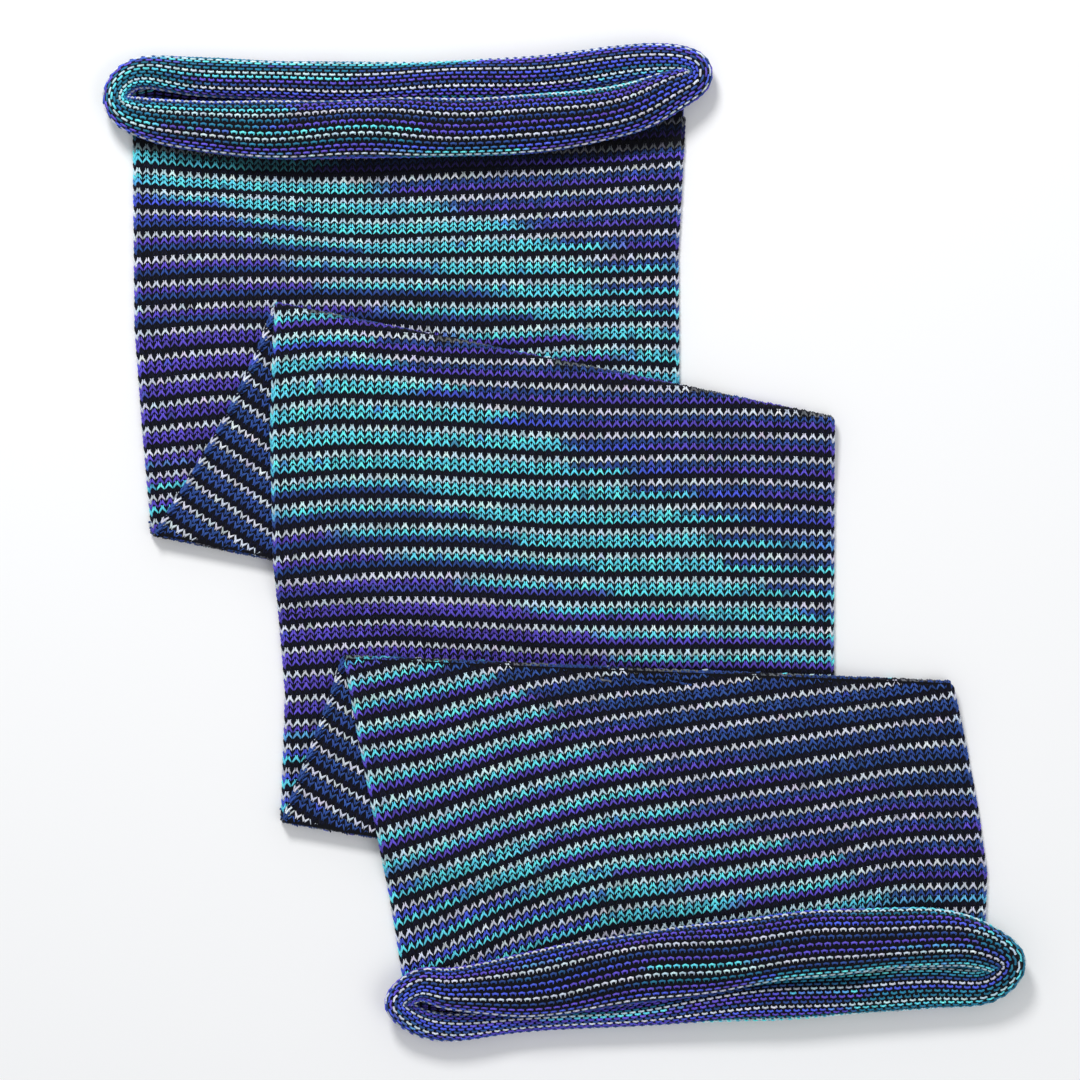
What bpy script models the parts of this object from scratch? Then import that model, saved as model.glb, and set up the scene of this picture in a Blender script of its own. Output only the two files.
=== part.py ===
# Knitted neck gaiter, laid flat and folded into two zigzag pleats.
#
# The gaiter is one long lay-flat tube of stockinette.  Lying down it makes five
# legs: an upper panel on the floor, a return leg folded back over it, a middle
# panel on top of that, a second return leg and a lower panel.  Each leg is a
# flattened tube, so it has a back wall and a front wall.  Both open ends curl
# outwards into a rolled rim that runs all the way round the mouth.
#
# Frame: metres, +Z up, +Y towards the upper mouth, origin at the middle of the
# footprint on the floor.

import bpy
import bmesh
from math import cos, pi, sin, sqrt
from mathutils import Vector

# ------------------------------------------------------------ dimensions ----
MM = 0.001
WALL = 1.6 * MM            # one knitted wall
GAP = 0.3 * MM             # clearance between neighbouring walls
PITCH = 2 * (WALL + GAP)   # height one flattened leg takes in the stack
DROP = 25 * MM             # run over which a leg comes down off an edge below it
DROP_STEPS = 5             # facets in that run
HINGE_SET_BACK = 0.6 * MM  # how far each leg stops short of its fold line
CENTRE = (-0.86, 0.49)     # middle of the footprint in the layout's own plan (mm)
RING_SIDES = 12
RING_STEPS = 3             # sections between two stations of a rim

# Fold lines, end points in plan (mm): upper pleat F1 and F2, lower pleat F3, F4.
F1 = ((-188.2, 3.0), (52.7, -46.1))
F2 = ((-131.8, 110.2), (121.8, 58.4))
F3 = ((-129.5, -127.5), (123.6, -168.9))
F4 = ((-100.9, -50.2), (175.4, -62.0))

# Side edges of each leg in plan (mm), upper end first.
UPPER_LEFT = ((-197.0, 200.5), (-196.5, 143.0), (-196.0, 97.0), (-192.5, 50.0), F1[0])
UPPER_RIGHT = ((54.5, 200.5), (50.8, 133.0), (51.2, 72.0), (52.2, 13.0), F1[1])
RETURN1_LEFT = (F2[0], (-142.0, 83.4), (-155.3, 56.6), (-171.0, 29.8), F1[0])
RETURN1_RIGHT = (F2[1], (104.5, 32.3), (87.2, 6.2), (70.0, -20.0), F1[1])
MIDDLE_LEFT = (F2[0], (-134.0, 50.8), (-132.5, -8.6), (-127.5, -68.0), F3[0])
MIDDLE_RIGHT = (F2[1], (121.8, 1.6), (121.6, -55.2), (122.8, -112.1), F3[1])
RETURN2_LEFT = (F4[0], (-107.5, -70.0), (-114.5, -89.0), (-122.0, -108.0), F3[0])
RETURN2_RIGHT = (F4[1], (162.5, -88.7), (149.5, -115.5), (136.5, -142.2), F3[1])
LOWER_LEFT = (F4[0], (-94.0, -88.0), (-86.0, -129.0), (-79.0, -166.0), (-73.2, -203.0))
LOWER_RIGHT = (F4[1], (182.0, -92.0), (187.5, -121.0), (191.5, -150.0), (190.5, -178.5))
UPPER_FRONT_TOP = 188.5    # where the front wall of the upper leg meets its rim

# Rims: stations round each mouth (mm): x, y, half width in plan, height of the
# underside over the stack it lies on, half height.
UPPER_RIM = (
    (-203.6, 199.8, 5.9, 3.8, 5.6), (-193.6, 193.4, 8.2, 3.8, 6.4),
    (-166.3, 187.9, 10.0, 3.8, 7.2), (-120.9, 185.2, 10.7, 3.8, 7.5),
    (-75.4, 186.1, 10.6, 3.8, 7.5), (-35.9, 186.6, 10.6, 3.8, 7.5),
    (-2.7, 189.3, 10.2, 3.8, 7.4), (29.1, 195.7, 9.5, 3.8, 7.0),
    (49.5, 205.2, 8.2, 3.8, 6.2), (59.1, 211.6, 7.0, 1.6, 6.0),
    (56.4, 218.4, 6.4, 0.0, 6.2), (38.2, 219.8, 7.3, 0.0, 6.8),
    (-2.7, 214.8, 7.7, 0.0, 7.2), (-35.9, 212.0, 7.7, 0.0, 7.4),
    (-75.4, 211.1, 7.4, 0.0, 7.4), (-120.9, 211.1, 7.6, 0.0, 7.4),
    (-166.3, 213.1, 7.4, 0.0, 7.0), (-191.3, 214.3, 7.0, 0.0, 6.4),
    (-201.8, 208.8, 6.4, 1.2, 5.8),
)
LOWER_RIM = (
    (-76.5, -208.8, 5.6, 3.8, 5.6), (-66.4, -200.2, 6.8, 3.8, 6.4),
    (-50.5, -201.1, 8.6, 3.8, 7.0), (-20.9, -198.8, 12.2, 3.8, 7.5),
    (15.5, -192.9, 13.5, 3.8, 7.6), (60.9, -186.6, 13.5, 3.8, 7.6),
    (102.7, -180.0, 12.8, 3.8, 7.5), (139.1, -177.4, 12.0, 3.8, 7.4),
    (165.4, -177.0, 11.5, 3.8, 7.2), (185.9, -181.1, 10.0, 3.8, 6.8),
    (199.8, -190.2, 8.8, 3.8, 6.2), (190.4, -201.2, 8.0, 0.4, 6.2),
    (165.4, -202.9, 8.0, 0.0, 6.6), (139.1, -205.0, 8.0, 0.0, 6.8),
    (102.7, -208.2, 7.6, 0.0, 6.8), (60.9, -211.4, 6.2, 0.0, 6.2),
    (24.5, -215.4, 4.2, 0.0, 5.2), (-20.9, -217.6, 4.4, 0.0, 5.2),
    (-50.5, -220.2, 5.9, 0.0, 5.8), (-66.4, -217.6, 6.2, 0.4, 5.8),
)

# Name, base colour and roughness of each sub-part.
COLOURS = {
    "upper_panel_back": (0.030, 0.045, 0.110), "upper_panel_front": (0.060, 0.230, 0.330),
    "upper_return_front": (0.040, 0.060, 0.150), "upper_return_back": (0.060, 0.085, 0.200),
    "middle_panel_back": (0.030, 0.045, 0.110), "middle_panel_front": (0.090, 0.190, 0.340),
    "lower_return_front": (0.040, 0.060, 0.150), "lower_return_back": (0.060, 0.085, 0.200),
    "lower_panel_back": (0.030, 0.045, 0.110), "lower_panel_front": (0.080, 0.150, 0.300),
    "upper_rolled_rim": (0.110, 0.100, 0.280), "lower_rolled_rim": (0.130, 0.110, 0.300),
}


# --------------------------------------------------------------- helpers ----
def ramp(d):
    """Share of a drop made at d (mm) past an edge: 0 at the edge, 1 after DROP."""
    run = DROP / MM
    t = min(max(d / run, 0.0), 1.0) * DROP_STEPS
    low = min(int(t), DROP_STEPS - 1)

    def smooth(i):
        s = i / DROP_STEPS
        return s * s * (3 - 2 * s)

    return smooth(low) + (smooth(low + 1) - smooth(low)) * (t - low)


def past(line, x, y):
    """Distance (mm) of a point to the right of a line's direction of travel."""
    (x0, y0), (x1, y1) = line
    dx, dy = x1 - x0, y1 - y0
    return ((x - x0) * dy - (y - y0) * dx) / sqrt(dx * dx + dy * dy)


# Edges that a leg above comes down from, each run so that its outside is right.
UPPER_SIDE = ((52.7, -60.0), (52.7, 130.0))[::-1]       # right side of the upper panel
RETURN1_SIDE = (F2[1], F1[1])                           # right side of the first return
MIDDLE_SIDE = ((123.6, 60.0), (123.6, -200.0))          # right side of the middle panel
RETURN2_SIDE = (F4[1], F3[1])                           # right side of the second return
F1_EDGE = (F1[1], F1[0])                                # below the first fold
F3_EDGE = (F3[1], F3[0])                                # below the third fold


def outside(edge, x, y):
    """Distance past an edge, positive away from the leg that the edge bounds."""
    return -past(edge, x, y)


def base_return1(x, y):
    return PITCH * (1 - ramp(outside(UPPER_SIDE, x, y)))


def base_middle(x, y):
    down = 1 - ramp(outside(F1_EDGE, x, y))
    return PITCH * down * ((1 - ramp(outside(UPPER_SIDE, x, y)))
                           + (1 - ramp(outside(RETURN1_SIDE, x, y))))


def base_return2(x, y):
    return base_middle(x, y) + PITCH * (1 - ramp(outside(MIDDLE_SIDE, x, y)))


def base_lower(x, y):
    down = 1 - ramp(outside(F3_EDGE, x, y))
    return down * (base_return2(x, y) + PITCH * (1 - ramp(outside(RETURN2_SIDE, x, y))))


def flat(x, y):
    return 0.0


def at(points, t):
    """Point at t in 0..1 along an evenly spaced run of points."""
    t = min(max(t, 0.0), 1.0) * (len(points) - 1)
    i = min(int(t), len(points) - 2)
    f = t - i
    return tuple(a + (b - a) * f for a, b in zip(points[i], points[i + 1]))


def material(name, colour, roughness=0.9):
    mat = bpy.data.materials.new(name)
    mat.use_nodes = True
    shader = mat.node_tree.nodes["Principled BSDF"]
    shader.inputs["Base Color"].default_value = (*colour, 1.0)
    shader.inputs["Roughness"].default_value = roughness
    shader.inputs["Metallic"].default_value = 0.0
    mat.diffuse_color = (*colour, 1.0)
    return mat


def add(name, mesh, collection):
    obj = bpy.data.objects.new(name, mesh)
    collection.objects.link(obj)
    mesh.materials.append(material(name, COLOURS[name]))
    return obj


def panel(name, left, right, base, lift, edges, collection, start=0.0, stop=1.0):
    """One wall of a leg: a ruled sheet between its two side edges, creased where
    it comes down off the legs below, and as thick as the knit."""
    rows = len(left) - 1
    bm = bmesh.new()
    bmesh.ops.create_grid(bm, x_segments=1, y_segments=rows, size=0.5)
    for v in bm.verts:
        u, t = v.co.x + 0.5, 0.5 - v.co.y
        t = start + (stop - start) * t
        (xa, ya), (xb, yb) = at(left, t), at(right, t)
        v.co = Vector((xa + (xb - xa) * u, ya + (yb - ya) * u, 0.0)) * MM
    for edge in edges:
        (x0, y0), (x1, y1) = edge
        dx, dy = x1 - x0, y1 - y0
        length = sqrt(dx * dx + dy * dy)
        normal = Vector((-dy / length, dx / length, 0.0))
        if outside(edge, x0 + normal.x, y0 + normal.y) < 0:
            normal = -normal
        for i in range(DROP_STEPS + 1):
            point = Vector((x0 * MM, y0 * MM, 0.0)) + normal * (DROP * i / DROP_STEPS)
            bmesh.ops.bisect_plane(bm, geom=bm.verts[:] + bm.edges[:] + bm.faces[:],
                                   dist=0.00005, plane_co=point, plane_no=normal)
    bmesh.ops.remove_doubles(bm, verts=bm.verts[:], dist=0.0001)
    for v in bm.verts:
        v.co.z = base(v.co.x / MM, v.co.y / MM) + lift
        v.co.x -= CENTRE[0] * MM
        v.co.y -= CENTRE[1] * MM
    bmesh.ops.triangulate(bm, faces=bm.faces[:])
    top = bmesh.ops.extrude_face_region(bm, geom=bm.faces[:])
    for v in [g for g in top["geom"] if isinstance(g, bmesh.types.BMVert)]:
        v.co.z += WALL
    bmesh.ops.recalc_face_normals(bm, faces=bm.faces[:])
    mesh = bpy.data.meshes.new(name)
    bm.to_mesh(mesh)
    bm.free()
    return add(name, mesh, collection)


def spline(stations, i, t):
    """Closed Catmull-Rom through the stations, between station i and the next."""
    n = len(stations)
    p0, p1, p2, p3 = (stations[(i + k) % n] for k in (-1, 0, 1, 2))
    out = []
    for a, b, c, d in zip(p0, p1, p2, p3):
        out.append(0.5 * (2 * b + (c - a) * t + (2 * a - 5 * b + 4 * c - d) * t * t
                          + (3 * b - a - 3 * c + d) * t * t * t))
    return out


def rim(name, stations, base, collection):
    """A rolled rim: a closed loft of unlike oval sections round the mouth, which
    rides over whatever the leg under it lies on."""
    samples = [spline(stations, i, s / RING_STEPS)
               for i in range(len(stations)) for s in range(RING_STEPS)]
    count = len(samples)
    bm = bmesh.new()
    rings = []
    for i, (x, y, half, low, high) in enumerate(samples):
        ax, ay = samples[i - 1][:2]
        bx, by = samples[(i + 1) % count][:2]
        dx, dy = bx - ax, by - ay
        size = sqrt(dx * dx + dy * dy)
        nx, ny = -dy / size, dx / size
        under = max(base(x + nx * half * f, y + ny * half * f) / MM
                    - high * (1 - sqrt(1 - f * f))
                    for f in (-0.9, -0.75, -0.6, -0.45, -0.3, -0.15, 0.0,
                              0.15, 0.3, 0.45, 0.6, 0.75, 0.9))
        under = max(under, 0.0)
        ring = []
        for k in range(RING_SIDES):
            angle = 2 * pi * k / RING_SIDES
            side = half * cos(angle)
            ring.append(bm.verts.new(Vector((
                x + nx * side - CENTRE[0], y + ny * side - CENTRE[1],
                under + max(low, 0.0) + high * (1 + sin(angle)))) * MM))
        rings.append(ring)
    for i in range(count):
        a, b = rings[i], rings[(i + 1) % count]
        for k in range(RING_SIDES):
            m = (k + 1) % RING_SIDES
            bm.faces.new((a[k], b[k], b[m], a[m]))
    bmesh.ops.recalc_face_normals(bm, faces=bm.faces[:])
    mesh = bpy.data.meshes.new(name)
    bm.to_mesh(mesh)
    bm.free()
    obj = add(name, mesh, collection)
    mesh.shade_smooth()
    return obj


# ----------------------------------------------------------------- build ----
for obj in list(bpy.data.objects):
    bpy.data.objects.remove(obj, do_unlink=True)

parts = bpy.data.collections.new("neck_gaiter")
bpy.context.scene.collection.children.link(parts)

FRONT_LIFT = WALL + GAP


def set_back(left, right):
    """Share of a leg's length that its walls stop short of a fold line."""
    (xa, ya), (xb, yb) = left[0], left[-1]
    (xc, yc), (xd, yd) = right[0], right[-1]
    long = max(sqrt((xb - xa) ** 2 + (yb - ya) ** 2), sqrt((xd - xc) ** 2 + (yd - yc) ** 2))
    return 2.0 * HINGE_SET_BACK / MM / long


s = set_back(UPPER_LEFT, UPPER_RIGHT)
panel("upper_panel_back", UPPER_LEFT, UPPER_RIGHT, flat, 0.0, (), parts, 0.0, 1 - s)
front_start = (UPPER_LEFT[0][1] - UPPER_FRONT_TOP) / (UPPER_LEFT[0][1] - F1[0][1])
panel("upper_panel_front", UPPER_LEFT, UPPER_RIGHT, flat, FRONT_LIFT, (), parts,
      front_start, 1 - s)

s = set_back(RETURN1_LEFT, RETURN1_RIGHT)
panel("upper_return_front", RETURN1_LEFT, RETURN1_RIGHT, base_return1, 0.0,
      (UPPER_SIDE,), parts, s, 1 - s)
panel("upper_return_back", RETURN1_LEFT, RETURN1_RIGHT, base_return1, FRONT_LIFT,
      (UPPER_SIDE,), parts, s, 1 - s)

s = set_back(MIDDLE_LEFT, MIDDLE_RIGHT)
edges = (UPPER_SIDE, RETURN1_SIDE, F1_EDGE)
panel("middle_panel_back", MIDDLE_LEFT, MIDDLE_RIGHT, base_middle, 0.0, edges, parts,
      s, 1 - s)
panel("middle_panel_front", MIDDLE_LEFT, MIDDLE_RIGHT, base_middle, FRONT_LIFT, edges,
      parts, s, 1 - s)

s = set_back(RETURN2_LEFT, RETURN2_RIGHT)
edges = (UPPER_SIDE, RETURN1_SIDE, F1_EDGE, MIDDLE_SIDE)
panel("lower_return_front", RETURN2_LEFT, RETURN2_RIGHT, base_return2, 0.0, edges,
      parts, s, 1 - s)
panel("lower_return_back", RETURN2_LEFT, RETURN2_RIGHT, base_return2, FRONT_LIFT, edges,
      parts, s, 1 - s)

s = set_back(LOWER_LEFT, LOWER_RIGHT)
edges = (UPPER_SIDE, RETURN1_SIDE, F1_EDGE, MIDDLE_SIDE, RETURN2_SIDE, F3_EDGE)
panel("lower_panel_back", LOWER_LEFT, LOWER_RIGHT, base_lower, 0.0, edges, parts, s, 1.0)
panel("lower_panel_front", LOWER_LEFT, LOWER_RIGHT, base_lower, FRONT_LIFT, edges, parts,
      s, 0.97)

rim("upper_rolled_rim", UPPER_RIM, flat, parts)
rim("lower_rolled_rim", LOWER_RIM, base_lower, parts)
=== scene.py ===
# Knitted neck gaiter, laid flat in two zigzag pleats: the visible cloth.
#
# The upper wall of every leg, both walls of the two return legs, the folds and the
# rims are made of their real yarn: one tube of yarn a course, bent into loops that
# hang in the loops of the course before.  Four courses make one stripe repeat: white, two courses of the
# long-colour yarn (A, B), near-black.
import bpy
import numpy as np
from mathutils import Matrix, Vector

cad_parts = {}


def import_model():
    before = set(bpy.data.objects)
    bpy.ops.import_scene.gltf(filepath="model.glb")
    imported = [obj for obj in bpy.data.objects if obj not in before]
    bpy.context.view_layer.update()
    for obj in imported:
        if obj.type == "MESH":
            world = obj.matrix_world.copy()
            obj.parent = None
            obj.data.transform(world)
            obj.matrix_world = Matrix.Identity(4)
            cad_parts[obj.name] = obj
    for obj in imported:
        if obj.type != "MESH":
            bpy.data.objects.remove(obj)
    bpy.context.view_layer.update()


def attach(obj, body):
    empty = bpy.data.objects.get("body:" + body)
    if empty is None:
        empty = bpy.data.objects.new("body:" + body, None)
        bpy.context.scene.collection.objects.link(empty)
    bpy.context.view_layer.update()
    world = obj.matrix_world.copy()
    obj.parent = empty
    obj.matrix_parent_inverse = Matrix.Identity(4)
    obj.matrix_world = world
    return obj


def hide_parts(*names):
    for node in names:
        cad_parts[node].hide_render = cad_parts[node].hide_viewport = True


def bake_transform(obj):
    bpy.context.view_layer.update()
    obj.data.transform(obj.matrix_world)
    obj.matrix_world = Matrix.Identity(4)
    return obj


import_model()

RNG = np.random.default_rng(4211)

# ---------------------------------------------------------------- plan ------
# The layout is drawn in plan units of 0.4545 mm, x to the right and y down.
UNIT = 0.4545
CENTRE = (-0.86, 0.49)
WALL, GAP = 1.6, 0.3
PITCH = 2 * (WALL + GAP)
LIFT = WALL + GAP
DROP = 25.0
SIDE_R = 1.7
FOLD_R = 3.65
YARN = 0.55                 # yarn radius


def plan(p):
    """Layout millimetres of a point in plan units."""
    return ((p[0] - 566.0) * UNIT, (543.5 - p[1]) * UNIT)


F1 = ((-188.2, 3.0), (52.7, -46.1))
F2 = ((-131.8, 110.2), (121.8, 58.4))
F3 = ((-129.5, -127.5), (123.6, -168.9))
F4 = ((-100.9, -50.2), (175.4, -62.0))

SIDES = {
    "leg1": (((-197.0, 200.5), (-196.5, 143.0), (-196.0, 97.0), (-192.5, 50.0), F1[0]),
             ((54.5, 200.5), (50.8, 133.0), (51.2, 72.0), (52.2, 13.0), F1[1])),
    "leg2": ((F2[0], (-142.0, 83.4), (-155.3, 56.6), (-171.0, 29.8), F1[0]),
             (F2[1], (104.5, 32.3), (87.2, 6.2), (70.0, -20.0), F1[1])),
    "leg3": ((F2[0], (-134.0, 50.8), (-132.5, -8.6), (-127.5, -68.0), F3[0]),
             (F2[1], (121.8, 1.6), (121.6, -55.2), (122.8, -112.1), F3[1])),
    "leg4": ((F4[0], (-107.5, -70.0), (-114.5, -89.0), (-122.0, -108.0), F3[0]),
             (F4[1], (162.5, -88.7), (149.5, -115.5), (136.5, -142.2), F3[1])),
    "leg5": ((F4[0], (-94.0, -88.0), (-86.0, -129.0), (-79.0, -166.0), (-73.2, -203.0)),
             (F4[1], (182.0, -92.0), (187.5, -121.0), (191.5, -150.0), (190.5, -178.5))),
}
UPPER_RIM = (
    (-203.6, 199.8, 5.9, 3.8, 5.6), (-193.6, 193.4, 8.2, 3.8, 6.4),
    (-166.3, 187.9, 10.0, 3.8, 7.2), (-120.9, 185.2, 10.7, 3.8, 7.5),
    (-75.4, 186.1, 10.6, 3.8, 7.5), (-35.9, 186.6, 10.6, 3.8, 7.5),
    (-2.7, 189.3, 10.2, 3.8, 7.4), (29.1, 195.7, 9.5, 3.8, 7.0),
    (49.5, 205.2, 8.2, 3.8, 6.2), (59.1, 211.6, 7.0, 1.6, 6.0),
    (56.4, 218.4, 6.4, 0.0, 6.2), (38.2, 219.8, 7.3, 0.0, 6.8),
    (-2.7, 214.8, 7.7, 0.0, 7.2), (-35.9, 212.0, 7.7, 0.0, 7.4),
    (-75.4, 211.1, 7.4, 0.0, 7.4), (-120.9, 211.1, 7.6, 0.0, 7.4),
    (-166.3, 213.1, 7.4, 0.0, 7.0), (-191.3, 214.3, 7.0, 0.0, 6.4),
    (-201.8, 208.8, 6.4, 1.2, 5.8),
)
LOWER_RIM = (
    (-76.5, -208.8, 5.6, 3.8, 5.6), (-66.4, -200.2, 6.8, 3.8, 6.4),
    (-50.5, -201.1, 8.6, 3.8, 7.0), (-20.9, -198.8, 12.2, 3.8, 7.5),
    (15.5, -192.9, 13.5, 3.8, 7.6), (60.9, -186.6, 13.5, 3.8, 7.6),
    (102.7, -180.0, 12.8, 3.8, 7.5), (139.1, -177.4, 12.0, 3.8, 7.4),
    (165.4, -177.0, 11.5, 3.8, 7.2), (185.9, -181.1, 10.0, 3.8, 6.8),
    (199.8, -190.2, 8.8, 3.8, 6.2), (190.4, -201.2, 8.0, 0.4, 6.2),
    (165.4, -202.9, 8.0, 0.0, 6.6), (139.1, -205.0, 8.0, 0.0, 6.8),
    (102.7, -208.2, 7.6, 0.0, 6.8), (60.9, -211.4, 6.2, 0.0, 6.2),
    (24.5, -215.4, 4.2, 0.0, 5.2), (-20.9, -217.6, 4.4, 0.0, 5.2),
    (-50.5, -220.2, 5.9, 0.0, 5.8), (-66.4, -217.6, 6.2, 0.4, 5.8),
)

# Where the white course of each repeat runs, in plan units: at each x, the
# repeat number of the first entry and then the y of every repeat after it.
ROWS = {
    "leg1": (
        (135, 1, (171, 191, 212.3, 236, 262, 286, 310.5, 334.7, 360.4, 384.6, 409, 432.5,
                  455.4, 479, 501.4)),
        (200, 1, (176.6, 194.4, 213.6, 233.7, 258, 282.5, 306.7, 329.6, 354, 377.6, 401,
                  425.5, 448.4, 472, 493.7)),
        (380, 1, (180.4, 201.4, 222.0, 241.6, 260.7, 281.0, 304, 328)),
        (450, 1, (176.6, 198.9, 220, 239.5, 260.7, 282.4, 306.0, 331)),
        (620, 0, (149, 168.9, 190.6, 212.2, 233.9, 258.0, 281.3, 303.8, 325.5, 347.5,
                  368.9)),
        (680, 0, (145, 164.4, 186.7, 209, 232.3, 255.5, 279.4, 302.0, 325.5, 348.5, 372)),
    ),
    "leg3": (
        (270, 0, (316, 340.0, 361.7, 384.5, 410, 435.3, 459.8, 484.7, 510.3, 537.0, 562,
                  585.9, 608.8, 631.3, 653.5, 677.5, 701.7, 726.0, 748.9, 772.7, 797, 820)),
        (332, 0, (312, 334, 355.5, 378.3, 403.5, 429.7, 455.4, 479.8, 503.8, 529.0, 554.5,
                  580.0, 603.2, 625.4, 648.4, 673, 698.0, 722.2, 747, 771)),
        (380, 0, (313, 336, 358.0, 379.8, 404.3, 429.8, 454.2, 478.1, 503.0, 527.5, 552,
                  577, 601.2, 623.2, 645.3)),
        (460, 1, (341, 362.5, 383.5, 407, 432, 457, 481.5, 505.0, 528, 552, 576.7, 602.2,
                  625.6, 647.4)),
        (560, 3, (388, 412.6, 437.0, 461.0, 485, 509.8, 533.3, 557, 581, 605.5, 629.5,
                  652.5)),
        (680, 3, (390.6, 413, 436, 459.0, 483.2, 508.3, 532.3, 556.7, 581, 605.5, 629.8,
                  653.6)),
        (760, 4, (413.4, 436.6, 459.8, 482.8, 507.0, 532.0, 557.8, 581.8, 606, 630.5,
                  653.8)),
        (835, 4, (415.9, 438.5, 462.5, 487.8, 511.5, 534.6, 558.8, 582.9, 607.6, 631.9,
                  655.3)),
    ),
    "leg5": (
        (350, 1, (658, 679.8, 703.3, 727.8, 751.8, 778.7, 811, 842, 871, 898, 927, 957,
                  986)),
        (430, 1, (637, 661, 686, 713.0, 737, 762.4, 789.5, 817.5, 845.5, 871.9, 898.7,
                  926.3, 955)),
        (532, 3, (662.4, 686, 709.7, 733.3, 758.5, 785.4, 811, 835.5, 859.2, 883.5, 909,
                  935)),
        (600, 3, (652, 674.5, 698.0, 720.5, 743.8, 768.2, 793.1, 817.0, 840.4, 864.1,
                  887.7, 913, 938)),
        (680, 4, (667.8, 688.8, 709.6, 731.9, 755.8, 781.0, 805.1, 829.3, 852.9, 876.9,
                  901.5, 926)),
        (818, 6, (692.8, 713, 735.9, 760.2, 785, 808.6, 831.6, 855.8, 879.8, 904)),
        (900, 6, (683.0, 703.7, 724.8, 748.3, 772.5, 795.6, 818.5, 842.2, 865.9, 889.8)),
        (962, 7, (694.5, 719, 743.5, 768.7, 793.5, 815.9, 839.2, 863.6, 888)),
    ),
}
REPEAT = 24.2               # plan units in one stripe repeat of four courses


def smooth(t):
    t = np.clip(t, 0.0, 1.0)
    return t * t * (3 - 2 * t)


def outside(edge, x, y):
    (x0, y0), (x1, y1) = edge
    dx, dy = x1 - x0, y1 - y0
    return -((x - x0) * dy - (y - y0) * dx) / np.hypot(dx, dy)


UPPER_SIDE = ((52.7, 130.0), (52.7, -60.0))
RETURN1_SIDE = (F2[1], F1[1])
MIDDLE_SIDE = ((123.6, 60.0), (123.6, -200.0))
RETURN2_SIDE = (F4[1], F3[1])
F1_EDGE = (F1[1], F1[0])
F3_EDGE = (F3[1], F3[0])


def off(edge, x, y):
    """Share of its height that a leg keeps at a point near an edge below it."""
    return 1 - smooth(outside(edge, x, y) / DROP)


def base(leg, x, y):
    """Height of the underside of a leg (mm): the stack it lies on, and a slow
    ripple that all the layers share."""
    ripple = 0.22 * (1 + np.sin(x / 17 + 1.4 * np.sin(y / 41)) * np.sin(y / 21 + 0.8))
    return stack(leg, x, y) + ripple


def stack(leg, x, y):
    """Height of the stack under a leg (mm)."""
    if leg == "leg1":
        return np.zeros_like(x)
    if leg == "leg2":
        return PITCH * off(UPPER_SIDE, x, y)
    middle = PITCH * off(F1_EDGE, x, y) * (off(UPPER_SIDE, x, y) + off(RETURN1_SIDE, x, y))
    if leg == "leg3":
        return middle
    below = middle + PITCH * off(MIDDLE_SIDE, x, y)
    if leg == "leg4":
        return below
    return off(F3_EDGE, x, y) * (below + PITCH * off(RETURN2_SIDE, x, y))


# ------------------------------------------------------------- course maps --
def through(xs, columns, x):
    """Smooth curve through a column of heights at each of xs; columns is (n, m)."""
    n = len(xs)
    slopes = np.gradient(columns, xs, axis=1)
    xc = np.clip(x, xs[0] - 60, xs[-1] + 60)
    i = np.clip(np.searchsorted(xs, xc) - 1, 0, n - 2)
    h = xs[i + 1] - xs[i]
    t = (xc - xs[i]) / h
    a = np.take_along_axis(columns, i[:, None], 1)[:, 0]
    b = np.take_along_axis(columns, i[:, None] + 1, 1)[:, 0]
    ma = np.take_along_axis(slopes, i[:, None], 1)[:, 0] * h
    mb = np.take_along_axis(slopes, i[:, None] + 1, 1)[:, 0] * h
    tt = np.clip(t, 0, 1)
    value = ((2 * tt ** 3 - 3 * tt ** 2 + 1) * a + (tt ** 3 - 2 * tt ** 2 + tt) * ma
             + (-2 * tt ** 3 + 3 * tt ** 2) * b + (tt ** 3 - tt ** 2) * mb)
    return value + np.where(t < 0, t * ma, 0) + np.where(t > 1, (t - 1) * mb, 0)


def row_height(leg, c, x):
    """Plan y of course c at plan x; course 4r is the white one of repeat r."""
    r = c / 4.0
    if leg in ("leg2", "leg4"):
        # straight stripes that slope down to the right; the repeat number falls
        # from the fold at the bottom to the one at the top
        if leg == "leg2":
            x0, y0, s0, s1, turn, space = 217.0, 470.0, 0.655, 0.42, 300.0, 28.0
        else:
            x0, y0, s0, s1, turn, space = 305.0, 766.0, 0.56, 0.30, 350.0, 26.5
        d = x - x0
        run = turn - x0
        late = np.maximum(x - turn, 0.0)
        curve = s0 * np.minimum(d, run) + s1 * late + (s0 - s1) * 60 * (1 - np.exp(-late / 60))
        return y0 + curve + space * r
    table = ROWS[leg]
    xs = np.array([row[0] for row in table], float)
    columns = []
    for _, first, ys in table:
        ys = np.array(ys, float)
        last = first + len(ys) - 1
        y = np.interp(r, first + np.arange(len(ys)), ys)
        y = y + np.where(r < first, (r - first) * REPEAT, 0)
        y = y + np.where(r > last, (r - last) * REPEAT, 0)
        columns.append(y)
    return through(xs, np.stack(columns, 1), x)


def course_at(leg, x, y):
    """Course number at plan points, by bisection."""
    low, high = np.full_like(x, -60.0), np.full_like(x, 160.0)
    for _ in range(22):
        mid = (low + high) / 2
        above = row_height(leg, mid, x) < y
        low, high = np.where(above, mid, low), np.where(above, high, mid)
    return (low + high) / 2


def side_x(points, y, slack=0.0):
    """x of a side edge at layout height y, carried on straight past its ends."""
    pts = np.array(points, float)[::-1]
    x = np.interp(y, pts[:, 1], pts[:, 0])
    low = (pts[1, 0] - pts[0, 0]) / (pts[1, 1] - pts[0, 1])
    high = (pts[-1, 0] - pts[-2, 0]) / (pts[-1, 1] - pts[-2, 1])
    x = x + np.where(y < pts[0, 1], (y - pts[0, 1]) * low, 0)
    return x + np.where(y > pts[-1, 1], (y - pts[-1, 1]) * high, 0)


STITCHES = {"leg1": 64, "leg2": 66, "leg3": 66, "leg4": 68, "leg5": 69}


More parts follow.
